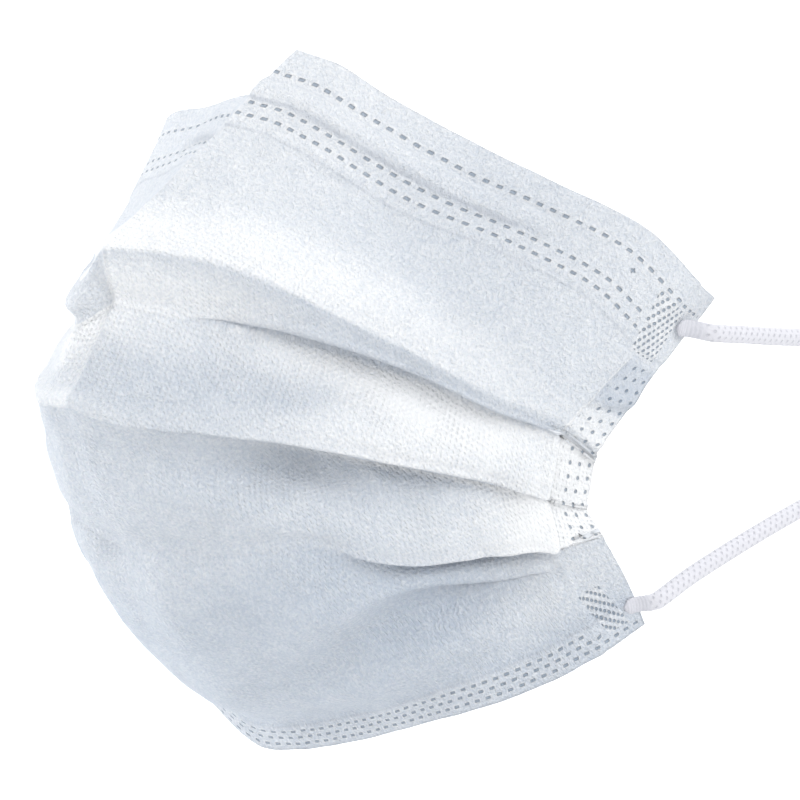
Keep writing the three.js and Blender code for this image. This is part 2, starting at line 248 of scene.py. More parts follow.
# The cloth of the side strips: how far from the top it begins, how far from the bottom it ends,
# down to where its top carries painted shade, where it bends away from the light, and the pale border
# along its inner edge.
STRIP = {"begins": (15, 17), "ends": (17, 18), "strip_top_shade_to": (24.5, 26),
         "border": {"middle": 35, "width": 0.5, "length": 38}}
# The embossed lattice, faint in the top panel, clear where the cloth's fall has reached this far.
EMBOSS = {"pitch": 1.3, "clear_from": (30, 45)}
# The cords' braid, and the fine ribs that their ends are pressed to.
BRAID = {"pitch": 1.3, "strands": 5, "rib": 0.45}
# How far the cloth goes from its single colour to its backed colour, which also paints light and
# shade: plain, and what each part of it adds, with how much the fibres and their clumps vary it. The
# chin entries are painted shade over the chin and along its valley, and painted light at its outer
# ends.
WHITENESS = {"plain": 0.36, "layers": 0.68, "top_hem": 0.04, "bottom_hem": 0.13, "strip": 0.13,
             "strip_border": 0.26, "weld_rims_and_patches": 0.22, "chin": -0.185, "chin_ends_painted_light": 0.34,
             "chin_valley_painted_shade": -0.09, "strip_top_shade_loses": 0.6, "clumps": 0.35, "fibres": 1.4}
# How far it then goes to the crease colour, which paints shade in the dimples, on the strip tops and
# in the lines beside the wire and the hems, and in the welds' pits to the pit colour, the weld marks
# with painted shade in their pits.
DARKENING = {"dimples": 0.24, "strip_top_shade": 0.2, "wire_line_shade": 0.5, "hem_line_shade": 0.3, "pits": 0.66}
# The cloth's colours: the single cloth's bluish grey, which also stands for painted shade, the white
# of backed cloth, which also stands for painted light, the crease colour of painted shade, and the
# pit colour of the weld marks with painted shade in their pits.
CLOTH_COLOURS = {"single_and_shaded": (0.545, 0.61, 0.705), "backed_and_lit": (0.92, 0.93, 0.945),
                 "pit": (0.14, 0.22, 0.33), "crease": (0.52, 0.56, 0.63)}

# Left ear loop from its weld at the top corner, behind the ear, to the bottom corner, in metres.
EAR_LOOP_ROUTE = [
    (0.0603, 0.0295, -0.0292), (0.0612, 0.034, -0.0287), (0.0619, 0.042, -0.0283),
    (0.0627, 0.051, -0.0279), (0.0638, 0.066, -0.0269), (0.0648, 0.080, -0.0258),
    (0.0655, 0.092, -0.0248), (0.066, 0.101, -0.0248), (0.0662, 0.1075, -0.0284),
    (0.0662, 0.109, -0.0334), (0.066, 0.1054, -0.0379), (0.0655, 0.096, -0.0418),
    (0.0649, 0.084, -0.0463), (0.0642, 0.072, -0.0512), (0.0635, 0.061, -0.0562),
    (0.0628, 0.051, -0.0612), (0.0625, 0.0405, -0.0665), (0.0622, 0.0334, -0.0708),
    (0.0609, 0.0292, -0.0731),
]
CORD_DIAMETER, CORD_SPACING, CORD_SIDES = 0.0028, 0.0007, 20
# Where each end is welded flat: the way the cloth faces there and how far the cord sinks to it,
# then the share of its thickness left, the length pressed flat, the length over which it turns
# round again, and the length of its rounded tip. Lengths in millimetres.
LOOP_WELD = {"top": {"facing": (0.99, 0.01, -0.13), "sinks": 2.3},
             "bottom": {"facing": (0.89, -0.41, -0.2), "sinks": 1.8},
             "thickness": 0.22, "flat": 1.5, "round": 5.5, "tip": 1.2}


def deselect():
    if bpy.context.mode != "OBJECT":
        bpy.ops.object.mode_set(mode="OBJECT")
    bpy.ops.object.select_all(action="DESELECT")


# ---- the surface ----
def smooth(low, high, value):
    t = np.clip((value - low) / (high - low), 0, 1)
    return t * t * (3 - 2 * t)


def bump_at(value, centre, width):
    return np.exp(-((value - centre) / width) ** 2)


def through_columns(values, s, keel_slope=(0,)):
    """Smooth curve through a table's eight columns at the cloth distances s."""
    values = np.array(values, float).reshape(len(KNOTS), -1)
    shape, s = np.shape(s), np.ravel(s)
    distance = np.clip(np.abs(s), 0, HALF_WIDTH)
    slopes = np.empty_like(values)
    slopes[1:-1] = (values[2:] - values[:-2]) / (KNOTS[2:] - KNOTS[:-2])[:, None]
    slopes[0] = (values[1] - values[0]) / KNOTS[1] * np.array(keel_slope)
    slopes[-1] = (values[-1] - values[-2]) / (KNOTS[-1] - KNOTS[-2])
    i = np.clip(np.searchsorted(KNOTS, distance, side="right") - 1, 0, len(KNOTS) - 2)
    span = (KNOTS[i + 1] - KNOTS[i])[:, None]
    t = (distance - KNOTS[i])[:, None] / span
    line = (values[i] * (1 + 2 * t) * (1 - t) ** 2 + slopes[i] * span * t * (1 - t) ** 2
            + values[i + 1] * t * t * (3 - 2 * t) + slopes[i + 1] * span * t * t * (t - 1))
    return line.reshape(*shape, -1)


def amount(values, s):
    """A table's amount, kept as one column, at the cloth distances s."""
    return through_columns(values, s)


def section_line(name, s):
    """Points of a section at cloth distances s, negative on the right half."""
    row = SECTIONS[name]
    points = through_columns([row[c] for c in COLUMNS], s, (1, row["crease"], row["crease"]))
    distance = np.abs(s)
    beside = (s < 0) * smooth(0, REACH["nose"], distance) * (
        1 - smooth(12, REACH["outer"], distance))
    points[:, 0] *= np.where(s < 0, -1, 1)
    points[:, 1] -= row["forward"] * beside
    points[:, 2] -= row["drop"] * beside
    points[:, 0] += row["narrow"] * (s < 0) * smooth(8, 30, distance) * (
        1 - smooth(50, 75, distance))
    points[:, 2] -= row["sink"] * (s < 0) * smooth(40, 60, distance)
    return points


def unit(vectors):
    return vectors / np.linalg.norm(vectors, axis=-1, keepdims=True)


def outward(above, below, s):
    """Outward direction of the cloth between two sections."""
    step = 0.5
    ahead = section_line(above, s + step) + section_line(below, s + step)
    behind = section_line(above, s - step) + section_line(below, s - step)
    down = section_line(below, s) - section_line(above, s)
    return unit(np.cross(down, ahead - behind))


def chin_line(share, s):
    """Line of the chin panel: a parabola through the third fold, the chin and the bottom edge."""
    return (section_line("fold_3", s) * (1 - share) * (1 - 2 * share)
            + section_line("chin", s) * 4 * share * (1 - share)
            + section_line("bottom_edge", s) * share * (2 * share - 1))


def panel_rows(name, above, below, s):
    """Rows of a panel between two sections, swollen out from the straight line."""
    facing = outward(above, below, s)
    high, low = section_line(above, s), section_line(below, s)
    return [high + (low - high) * share + facing * amount(swell, s)
            for share, swell in SWELL[name]]


def pleat_rows(name, s, before):
    """Rows of one pleat: down over the lip, up behind it, and down again as the next panel.

    before is the row above it: where the pleat runs out, its rows lie smoothly from there on.
    With each row goes how far it is hidden inside the fold.
    """
    pleat = PLEATS[name]
    lip, above, below = (section_line(pleat[part], s) for part in ("lip", "above", "next"))
    up = unit(above - lip)
    facing = outward(pleat["above"], pleat["next"], s)
    tuck, recess, hollow = (amount(pleat[part], s) for part in ("tuck", "recess", "hollow"))
    open_share = np.where(s < 0, smooth(*pleat["right_opens"], -s), 1)[:, None]
    recess, hollow = recess * open_share, hollow * open_share
    sharp = np.clip(recess / 0.8, 0, 1)
    open_fold = CLOTH["lip_fold"] * np.clip(recess / 1.8, 0.35, 1) * sharp
    if name == "pleat_3":
        down = [(share, chin_line(share, s)) for share in (0.02, 0.09, 0.2)]
    else:
        down = [(share, lip + (below - lip) * share) for share in (0.06, 0.25)]
    fade = (1, 0.55, 0.15)
    next_rows = [place - facing * (recess * part + hollow * (1 - abs(1 - 2 * part) ** 2 * 0.6))
                 for (share, place), part in zip(down, fade)]
    room = np.linalg.norm(above - lip, axis=1, keepdims=True)
    folded = [
        lip + up * np.minimum(1.1, room * 0.2) + facing * 0.1,
        lip + up * np.minimum(0.3, room * 0.08) + facing * 0.08,
        lip - facing * open_fold * 0.5,
        lip + up * 0.3 * sharp - facing * open_fold,
        lip + up * tuck * sharp - facing * (open_fold + recess) / 2,
        lip + up * tuck * 0.3 * sharp - facing * np.maximum(recess, open_fold * 1.1),
    ]
    along = unit(next_rows[-1] - before)
    flat = [lip + along * step + facing * lift for step, lift in pleat["bead"]]
    inside = (0, 0, *[sharp[:, 0]] * 4)
    return ([(a * sharp + b * (1 - sharp), hidden) for a, b, hidden in zip(folded, flat, inside)]
            + [(row, 0) for row in next_rows])


def body_rows(s):
    """Every row of the cloth from the top edge to the bottom edge, and where the named ones are.

    A row is its points, the mesh steps after it, and how far it lies hidden inside a fold. The
    named rows are the fold that each part of the backing and painted light table belongs to, and the
    start of the chin.
    """
    top, fold, under = (section_line(name, s) for name in ("top_edge", "fold_1", "under_1"))
    face_1, face_2 = outward("top_edge", "fold_1", s), outward("fold_1", "under_1", s)
    up = unit(top - fold)
    belly = (RIGHT_BELLY * smooth(1, 10, -s) * (1 - smooth(20, 45, -s)))[:, None]
    rows = [(top, 16, 0)]
    rows += [(row, steps, 0) for row, steps in
             zip(panel_rows("top_panel", "top_edge", "fold_1", s), (12, 10, 6, 4))]
    named = {"fold_1": len(rows) + 1}
    rows += [(fold + up * 1.2 + face_1 * 0.3, 2, 0), (fold + up * 0.3 + face_1 * 0.2, 2, 0),
             (fold + (under - fold) * 0.12 + face_2 * belly * 0.45, 3, 0),
             (fold * 0.4 + under * 0.6 + face_2 * (belly - 0.1), 4, 0)]
    # The mesh is finest at the lips and inside the folds.
    for name, pleat in PLEATS.items():
        made = pleat_rows(name, s, rows[-1][0])
        named[pleat["lip"]] = len(rows) + 2
        steps = [2] * 6 + ([2, 3, 6] if len(made) == 9 else [3, 6])
        rows += [(row, count, hidden) for (row, hidden), count in zip(made, steps)]
        if pleat["panel"]:
            rows += [(row, 5, 0) for row in panel_rows(pleat["panel"], pleat["lip"],
                                                       pleat["next"], s)]
    named["chin"] = len(rows) - 2
    flare = amount(HEM_FLARE, s) * (0, 0, 1)
    pace = chin_line(1, s) - chin_line(0.98, s)
    hem = 1 - BOTTOM_HEM * 0.02 / np.linalg.norm(pace, axis=1, keepdims=True)
    rows += [(chin_line(hem * part, s), 9, 0) for part in (0.37, 0.53, 0.69)]
    rows += [(chin_line(hem * 0.85, s) - flare * 0.1, 8, 0), (chin_line(hem, s) + flare, 7, 0),
             (chin_line(1, s), 0, 0)]
    return rows, named


def drape(rows):
    """Smooth surface through the rows, top to bottom, and how far each of its rows is hidden."""
    points = np.array([row[0] for row in rows])
    chord = np.sqrt(np.maximum(np.linalg.norm(np.diff(points, axis=0), axis=2), 0.05))
    pace = np.diff(points, axis=0) / chord[..., None]
    tangent = np.empty_like(points)
    before, after = chord[:-1, :, None], chord[1:, :, None]
    tangent[1:-1] = (pace[1:] * before + pace[:-1] * after) / (before + after)
    tangent[0], tangent[-1] = pace[0], pace[-1]
    surface, hidden = [], []
    for i, (_, steps, inside) in enumerate(rows[:-1]):
        for t in np.arange(steps) / steps:
            surface.append(
                points[i] * (1 + 2 * t) * (1 - t) ** 2 + points[i + 1] * t * t * (3 - 2 * t)
                + chord[i, :, None] * (tangent[i] * t * (1 - t) ** 2
                                       + tangent[i + 1] * t * t * (t - 1)))
            hidden.append(inside * np.ones(points.shape[1]))
    surface.append(points[-1])
    hidden.append(np.zeros(points.shape[1]))
    return np.array(surface), np.array(hidden)


def facings(surface):
    """Outward direction of the surface at each of its points."""
    along = np.gradient(surface, axis=1)
    down = np.gradient(surface, axis=0)
    return unit(np.cross(down, along))


def run_length(surface):
    """Cloth length from the top edge down each column."""
    steps = np.linalg.norm(np.diff(surface, axis=0), axis=2)
    return np.vstack([np.zeros(surface.shape[1]), np.cumsum(steps, axis=0)])


def soft_noise(s, v, scale, seed):
    flat = [noise.noise((x / scale, y / scale, seed)) for x, y in zip(s.ravel(), v.ravel())]
    return np.array(flat).reshape(s.shape)


def relief(s, from_top, from_bottom, on_chin):
    """Height of the cloth's own relief over the smooth surface, in millimetres."""
    across = np.abs(s)
    wire_on = (0.45 + 0.55 * smooth(1, 9, across)) * (
        1 - smooth(WIRE["half_length"], WIRE["half_length"] + 2, across))
    ridge_low, ridge_high = (WIRE["from_edge"] + side * WIRE["width"] / 2 for side in (-1, 1))
    height = WIRE["height"] * wire_on * (
        smooth(ridge_low - 0.5, ridge_low + 0.3, from_top)
        - smooth(ridge_high - 0.3, ridge_high + 0.5, from_top))
    height -= WIRE["dent_beside"] * wire_on * (bump_at(from_top, ridge_low - 0.9, 0.5)
                                               + bump_at(from_top, ridge_high + 0.9, 0.5))
    height += STEPS["top_hem"] * (1 - smooth(TOP_HEM - 0.3, TOP_HEM + 0.3, from_top))
    height += STEPS["bottom_hem"] * (1 - smooth(BOTTOM_HEM - 0.3, BOTTOM_HEM + 0.3, from_bottom))
    height -= STEPS["strip"] * smooth(REACH["seam"] - 0.2, REACH["seam"] + 0.5, across)
    height += STEPS["strip_edge"] * bump_at(across, REACH["seam"] - 0.9, 0.7)
    step = STRIP_FOLD["from_top"] - STRIP_FOLD["slope"] * (across - REACH["seam"])
    height += STRIP_FOLD["height"] * smooth(REACH["seam"] - 1, REACH["seam"] + 1.5, across) * (
        smooth(step - STRIP_FOLD["rise"], step, from_top)
        * (1 - smooth(step, step + 0.7, from_top)))
    for fold in CHIN_FOLDS.values():
        centre, lift = (amount(fold[part], s)[..., 0] for part in ("from_bottom", "lift"))
        height += on_chin * lift * bump_at(from_bottom, centre, fold["width"])
    for place in FULLER.values():
        height += (place["lift"] * bump_at(s, place["s"], place["across"])
                   * bump_at(from_top, place["from_top"], place["down"]))
    return height


def backing_layers(s, fall, folds):
    """How much whiter each point is, from cloth close behind it and from painted light and shade, by
    its fall and the fall of each fold.
    """
    across = np.abs(s)
    # Painted light on the top panel, and painted shade and light on the right half's band and middle
    # panel.
    top_panel = (PAINTED_LIGHT["top_panel"] + PAINTED_LIGHT["top_middle"] * (1 - smooth(10, 40, across))
                 + PAINTED_LIGHT["top_sides"] * smooth(45, 65, across))
    right_band = PAINTED_LIGHT["right_band"] * (fall > folds["fold_1"]) * (fall < folds["under_1"])
    right_panel = PAINTED_LIGHT["right_panel"] * (fall > folds["under_1"]) * (fall < folds["fold_2"])
    layers = top_panel * (fall < folds["fold_1"]) + (s < -1) * (right_panel + right_band)
    panel_start = 0
    for name, fold in BACKING_AND_PAINTED_LIGHT.items():
        above_fold = folds[name] - fall
        reach, share, below = (amount(fold[part], s)[:, 0] for part in ("reach", "share", "below"))
        layers += np.clip(share, 0, MOST_BACKING_AND_LIGHT) * (above_fold > -0.3) * (fall >= panel_start) * (
            1 - smooth(0.45 * reach, 1.3 * reach, above_fold))
        layers += np.clip(below, 0, 1) * (above_fold <= -0.3) * (1 - smooth(2, 10, -above_fold))
        panel_start = folds[name]
    return np.clip(layers, 0, MOST_BACKING_AND_LIGHT)


def cloth_surface():
    """The finished surface of the cloth: its points, its distances, its backing and painted light,
    and its wall.
    """
    s = np.linspace(-HALF_WIDTH, HALF_WIDTH, CLOTH["columns"] + 1)
    rows, named = body_rows(s)
    surface, hidden = drape(rows)
    length = run_length(surface)
    s_all = np.broadcast_to(s, length.shape)
    from_bottom = length[-1] - length
    from_top = length / (1 + NOSE_HEM["deeper"] * (
        1 - smooth(NOSE_HEM["from"], NOSE_HEM["to"], np.abs(s_all))))
    starts = np.cumsum([0] + [row[1] for row in rows])
    at_row = {name: starts[row] for name, row in named.items()}
    on_chin = smooth(at_row["chin"], at_row["chin"] + 12, np.arange(len(length)))[:, None]
    height = relief(s_all, from_top, from_bottom, on_chin)
    for rumple in RUMPLES:
        height += rumple["lift"] * soft_noise(s_all, length, rumple["scale"], rumple["seed"])
    # Cloth turned back inside a fold moves along with the cloth in front of it.
    facing = facings(surface)
    outwards = np.sum(facing * unit(surface - INSIDE), axis=-1)
    surface = surface + facing * (height * np.clip(outwards * 3, -1, 1))[..., None]
    down = np.diff(length, axis=0) * (1 - hidden[:-1])
    fall = np.vstack([np.zeros(length.shape[1]), np.cumsum(down, axis=0)])
    layers = backing_layers(s, fall, {name: fall[at_row[name]] for name in BACKING_AND_PAINTED_LIGHT})
    spread = CLOTH["pressed_rows"]
    near_fold = np.convolve(hidden.max(axis=1), np.ones(spread) / spread, mode="same")
    wall = 1 - (1 - CLOTH["pressed"]) * np.clip(near_fold * 1.8, 0, 1)
    return {"points": surface * MM, "s": s_all, "from_top": from_top, "from_bottom": from_bottom,
            "fall": fall, "layers": layers * (1 - hidden),
            "wall": np.broadcast_to(wall[:, None], length.shape)}


# ---- meshes ----
def grid_piece(name, places, maps):
    """Piece shaped from a grid, whose points, by row and column, lie at places.

    maps gives the two grids of values of each UV map. Returns the piece, and the row and the
    column of each of its vertices.
    """
    rows, columns = places.shape[:2]
    deselect()
    bpy.ops.mesh.primitive_grid_add(x_subdivisions=columns - 1, y_subdivisions=rows - 1, size=1)
    piece = bpy.context.object
    piece.name = piece.data.name = name
    mesh = piece.data
    flat = np.empty(len(mesh.vertices) * 3)
    mesh.vertices.foreach_get("co", flat)
    flat = flat.reshape(-1, 3)
    column = np.rint((flat[:, 0] + 0.5) * (columns - 1)).astype(int)
    row = np.rint((0.5 - flat[:, 1]) * (rows - 1)).astype(int)
    mesh.vertices.foreach_set("co", places[row, column].ravel())
    corner = np.empty(len(mesh.loops), int)
    mesh.loops.foreach_get("vertex_index", corner)
    mesh.uv_layers.remove(mesh.uv_layers[0])
    for title, distances in maps.items():
        layer = mesh.uv_layers.new(name=title)
        values = np.stack([grid[row, column][corner] / MAP_SPAN for grid in distances], axis=1)
        layer.data.foreach_set("uv", values.ravel())
    return piece, row, column


def sheet_piece(name, surface, maps, layers, wall, wall_share, finishes):
    """Cloth sheet shaped from a grid: its points by row and column, its maps and its thickness.

    The grid after maps is how much whiter each point is, from cloth close behind it and from painted
    light and shade, and wall_share the share of the wall's thickness there, which is less inside the
    folds.
    """
    piece, row, column = grid_piece(name, surface, maps)
    backed_and_lit = piece.data.attributes.new("layers", "FLOAT", "POINT")
    backed_and_lit.data.foreach_set("value", layers[row, column].ravel())
    for finish in finishes:
        piece.data.materials.append(finish)
    group = piece.vertex_groups.new(name="wall")
    for index, share in enumerate(wall_share[row, column].tolist()):
        group.add([index], share, "REPLACE")
    thicken = piece.modifiers.new("wall", "SOLIDIFY")
    thicken.vertex_group, thicken.thickness_vertex_group = "wall", 0
    thicken.thickness, thicken.offset = wall * MM, -1
    thicken.use_even_offset = False
    thicken.material_offset = len(finishes) - 1
    bpy.ops.object.modifier_apply(modifier="wall")
    piece.vertex_groups.clear()
    bpy.ops.object.shade_smooth()
    return piece


def hem_lining(name, cloth, places, inset, finish):
    """Turned-in hem: a strip behind the cloth, along places down the cloth from its own edge.

    places are grids of distance by row and column, and inset is how far behind the cloth they lie.
    """
    facing = facings(cloth["points"])
    strip = np.empty((len(places["at"]), len(places["column"]), 3))
    for k, column in enumerate(places["column"]):
        measured = places["measure"][:, column]
        order = np.argsort(measured)
        for axis in range(3):
            behind = cloth["points"][order, column, axis]
            turned = facing[order, column, axis]
            strip[:, k, axis] = (np.interp(places["at"], measured[order], behind)
                                 - np.interp(places["at"], measured[order], turned)
                                 * inset[:, k] * MM)
    rows = np.ones(strip.shape[:2])
    return sheet_piece(name, strip, {}, rows, LINING["wall"], rows, [finish, finish])


def hem_linings(cloth, finish):
    columns = np.arange(1, cloth["s"].shape[1] - 1, 3)
    by_wire = 1 - smooth(WIRE["half_length"], WIRE["half_length"] + 4,
                         np.abs(cloth["s"][0, columns]))
    top_places = np.array([0.6, 2.5, 4.2, 5.2, 9.6, 10.6, 12.2, TOP_HEM - 0.3])
    bottom_places = np.array([0.5, 2, 3.5, BOTTOM_HEM - 0.3])
    over_wire = (top_places > 5) * (top_places < 10)
    return [
        hem_lining("top_hem_lining", cloth,
                   {"at": top_places, "column": columns, "measure": cloth["from_top"]},
                   LINING["inset"] + LINING["over_wire"] * np.outer(over_wire, by_wire), finish),
        hem_lining("bottom_hem_lining", cloth,
                   {"at": bottom_places, "column": columns, "measure": cloth["from_bottom"]},
                   np.full((len(bottom_places), len(columns)), LINING["inset"]), finish),
    ]


def mask_body(cloth, outer, inner):
    from_side = HALF_WIDTH - np.abs(cloth["s"])
    maps = {"from_top": (cloth["s"], cloth["from_top"]),
            "from_bottom": (from_side, cloth["from_bottom"]),
            "fall": (from_side, cloth["fall"])}
    return sheet_piece("mask_cloth", cloth["points"], maps, cloth["layers"], CLOTH["wall"],
                       cloth["wall"], [outer, inner])


# ---- camera, floor and lights ----
def studio_camera():
    azimuth, elevation, roll = (math.radians(angle) for angle in (40.67, 6.71, 11.86))
    aim, distance = Vector((0.01834, 0.01576, -0.0502)), 0.6146
    back = Vector((math.sin(azimuth) * math.cos(elevation),
                   -math.cos(azimuth) * math.cos(elevation), math.sin(elevation)))
    data = bpy.data.cameras.new("studio_camera")
    data.lens, data.sensor_width = 176.47, 36
    data.clip_start, data.clip_end = 0.05, 30
    camera = bpy.data.objects.new("studio_camera", data)
    scene.collection.objects.link(camera)
    camera.rotation_mode = "QUATERNION"
    camera.rotation_quaternion = ((-back).to_track_quat("-Z", "Y")
                                  @ Quaternion((0, 0, 1), roll))
    camera.location = aim + back * distance
    scene.camera = camera


def studio_floor():
    """Wide pale floor that curves up into a low wall all round."""
    deselect()
    radius, level, step_size, steps = 2.2, -0.42, 0.1, 12
    bpy.ops.mesh.primitive_circle_add(vertices=96, radius=radius, fill_type="NGON",
                                      location=(0, 0, level))
    floor = bpy.context.object
    floor.name = "studio_floor"
    bpy.ops.object.mode_set(mode="EDIT")
    bpy.ops.mesh.select_all(action="SELECT")
    bpy.ops.mesh.region_to_loop()
    for step in range(steps):
        angle = math.pi / 2 * (step + 0.5) / steps
        grow = 1 + step_size * math.cos(angle) / (radius + step_size * step)
        bpy.ops.mesh.extrude_region_move(
            TRANSFORM_OT_translate={"value": (0, 0, step_size * math.sin(angle))})
        bpy.ops.transform.resize(value=(grow, grow, 1), center_override=(0, 0, 0))
    bpy.ops.mesh.select_all(action="SELECT")
    bpy.ops.mesh.normals_make_consistent(inside=False)
    bpy.ops.object.mode_set(mode="OBJECT")
    bpy.ops.object.shade_smooth()
    floor.data.materials.append(pale_floor())


def studio_light(name, place, aim, size, power):
    data = bpy.data.lights.new(name, "AREA")
    data.shape, data.size, data.energy = "DISK", size, power
    light = bpy.data.objects.new(name, data)
    light.location = place
    light.rotation_mode = "QUATERNION"
    light.rotation_quaternion = (Vector(aim) - Vector(place)).to_track_quat("-Z", "Y")
    scene.collection.objects.link(light)


def studio_world(colour, strength):
    world = bpy.data.worlds.new("studio_world")
    world.use_nodes = True
    scene.world = world
    background = world.node_tree.nodes["Background"]
    background.inputs["Color"].default_value = (*colour, 1)
    background.inputs["Strength"].default_value = strength


# ---- finishes ----
class Value:
    """A shader socket that sums, products and other maths can be written with."""

    def __init__(self, finish, socket):
        self.finish, self.socket = finish, socket

    def maths(self, operation, *others, swapped=False):
        values = [*others, self] if swapped else [self, *others]
        return self.finish.add("ShaderNodeMath", {"operation": operation}, *values)

    def __add__(self, other):
        return self.maths("ADD", other)

    def __sub__(self, other):
        return self.maths("SUBTRACT", other)

    def __rsub__(self, other):
        return self.maths("SUBTRACT", other, swapped=True)

    def __mul__(self, other):
        return self.maths("MULTIPLY", other)

    def __truediv__(self, other):
        return self.maths("DIVIDE", other)

    def __rtruediv__(self, other):
        return self.maths("DIVIDE", other, swapped=True)

    def __pow__(self, other):
        return self.maths("POWER", other)

    def __abs__(self):
        return self.maths("ABSOLUTE")

    __radd__, __rmul__ = __add__, __mul__

    def at_most(self, other):
        return self.maths("MINIMUM", other)

    def at_least(self, other):
        return self.maths("MAXIMUM", other)

    def sine(self):
        return self.maths("SINE")

    def rises(self, low, high):
        """0 below low, 1 above high, smooth between."""
        return self.finish.add("ShaderNodeMapRange", {"interpolation_type": "SMOOTHSTEP"},
                               self, low, high)

    def falls(self, low, high):
        return 1 - self.rises(low, high)

    def repeats(self, pitch, start=0):
        """Distance from the middle of the nearest of marks a pitch apart, below 0 before it."""
        turn = ((self - start) / pitch + 0.5).maths("FRACT")
        return (turn - 0.5) * pitch


class Finish:
    """A material and the nodes that make its look."""

    def __init__(self, name, roughness, **fixed):
        self.material = bpy.data.materials.new(name)
        self.material.use_nodes = True
        self.nodes = self.material.node_tree.nodes
        self.shader = self.nodes["Principled BSDF"]
        self.fix("Roughness", roughness)
        for socket, value in fixed.items():
            self.fix(socket.replace("_", " "), value)

    def fix(self, socket, value):
        self.shader.inputs[socket].default_value = value

    def join(self, value, socket):
        if isinstance(value, Value):
            self.material.node_tree.links.new(value.socket, socket)
        elif value is not None:
            socket.default_value = value

    def add(self, kind, settings, *values, output=0, **named):
        """Any node: its settings first, then what goes into its sockets."""
        node = self.nodes.new(kind)
        for setting, value in settings.items():
            setattr(node, setting, value)
        for value, socket in zip(values, node.inputs):
            self.join(value, socket)
        for title, value in named.items():
            self.join(value, node.inputs[title])
        return Value(self, node.outputs[output])

    def map(self, title):
        """The two values of one of the piece's maps: millimetres or, round a cord, turns."""
        place = self.add("ShaderNodeUVMap", {"uv_map": title})
        return [self.add("ShaderNodeSeparateXYZ", {}, place, output=axis) * MAP_SPAN
                for axis in ("X", "Y")]

    def place(self):
        return self.add("ShaderNodeTexCoord", {}, output="Object")

    def noise(self, size, detail, roughness=0.5):
        """Noise from 0 to 1 with grains of a size in metres."""
        return self.add("ShaderNodeTexNoise", {}, None, Vector=self.place(), Scale=1 / size,
                        Detail=detail, Roughness=roughness)

    def mix(self, share, first, second):
        node = self.nodes.new("ShaderNodeMix")
        node.data_type = "RGBA"
        for value, index in ((share, 0), (first, 6), (second, 7)):
            self.join(value, node.inputs[index])
        return Value(self, node.outputs[2])

    def show(self, socket, value):
        self.join(value, self.shader.inputs[socket])

    def raise_by(self, height, depth):
        """Relief of a depth in metres where the height goes from 0 to 1."""
        bump = self.add("ShaderNodeBump", {}, Strength=1, Distance=depth, Height=height)
        self.show("Normal", bump)


def dash(along, across, length, width, soft):
    """1 inside a mark of a length and width round the zero of both distances, 0 outside."""
    return (abs(along).falls(length / 2 - soft, length / 2 + soft)
            * abs(across).falls(width / 2 - soft, width / 2 + soft))


def dot(along, across, radius, soft):
    away = (along * along + across * across) ** 0.5
    return away.falls(radius - soft, radius + soft)


def lattice_dots(across, down, steps, radius):
    """Dots on a slanting lattice, whose two steps lead from each dot to its neighbours."""
    (a, b), (c, d) = steps
    spread = a * d - b * c
    one = ((across * d - down * c) / spread).repeats(1)
    two = ((down * a - across * b) / spread).repeats(1)
    return dot(one * a + two * c, one * b + two * d, radius, 0.09)


def seam_marks(s, from_top, from_side, from_bottom, fall):
    """The welds pressed into the cloth, 1 in their pits, and the paler rims round them, painted
    highlight, with the weld patches paler all over.
    """
    marks = weld_rims_and_patches = 0
    for name, from_edge in (("top_hem", from_top), ("bottom_hem", from_bottom)):
        hem = WELDS[name]
        for row in hem["rows"]:
            along, across = s.repeats(hem["pitch"], row["start"]), from_edge - row["from_edge"]
            here = from_side.rises(row["ends"] - 0.1, row["ends"])
            marks = dash(along, across, *hem["mark"]) * here + marks
            weld_rims_and_patches = dash(along, across, *hem["weld_rims_and_patches"]) * here + weld_rims_and_patches
    strip = WELDS["strip"]
    slanted = fall - from_side * strip["slant"]
    mark = dot(from_side.repeats(strip["across"], strip["start"]),
               slanted.repeats(strip["down"], 0.9), strip["radius"], 0.1)
    inside = (from_side.falls(strip["width"] - 0.6, strip["width"] - 0.5)
              * from_top.rises(strip["from_top"], strip["from_top"] + 0.1)
              * from_bottom.rises(strip["from_bottom"], strip["from_bottom"] + 0.1))
    marks = mark * inside + marks
    for patch, down in (("top_patch", from_top), ("bottom_patch", from_bottom)):
        patch = WELDS[patch]
        across = from_side - patch["middle"] - (down - patch["level"]) * patch["slant"]
        mark = lattice_dots(from_side, down, patch["steps"], 0.28)
        here = dash(across, down - patch["level"], patch["width"], patch["height"], 0.05)
        marks = mark * here + marks
        weld_rims_and_patches = here + weld_rims_and_patches
    spot = WELDS["spot"]
    star = (dash(abs(s) - spot["s"], from_top - spot["from_top"], 0.9, 0.25, 0.1)
            + dash(abs(s) - spot["s"], from_top - spot["from_top"], 0.25, 0.9, 0.1))
    return (marks + star).at_most(1), weld_rims_and_patches.at_most(1)


def embossing(finish, s, fall, fibres):
    """The dimples of the embossed lattice, fainter above the pleats and fainter in patches."""
    wobble = finish.noise(0.003, 3)
    lattice = math.sqrt(2) * math.pi / EMBOSS["pitch"]
    one = ((s + fall + wobble * 1.8) * lattice).sine()
    two = ((s - fall - wobble * 1.5) * lattice).sine()
    patchy = finish.noise(0.009, 3).rises(0.3, 0.75)
    strength = (0.3 + 0.7 * fall.rises(*EMBOSS["clear_from"])) * (0.4 + 0.6 * patchy)
    return (one * two + (fibres - 0.5) * 2.4).rises(0.05, 1.1) * strength


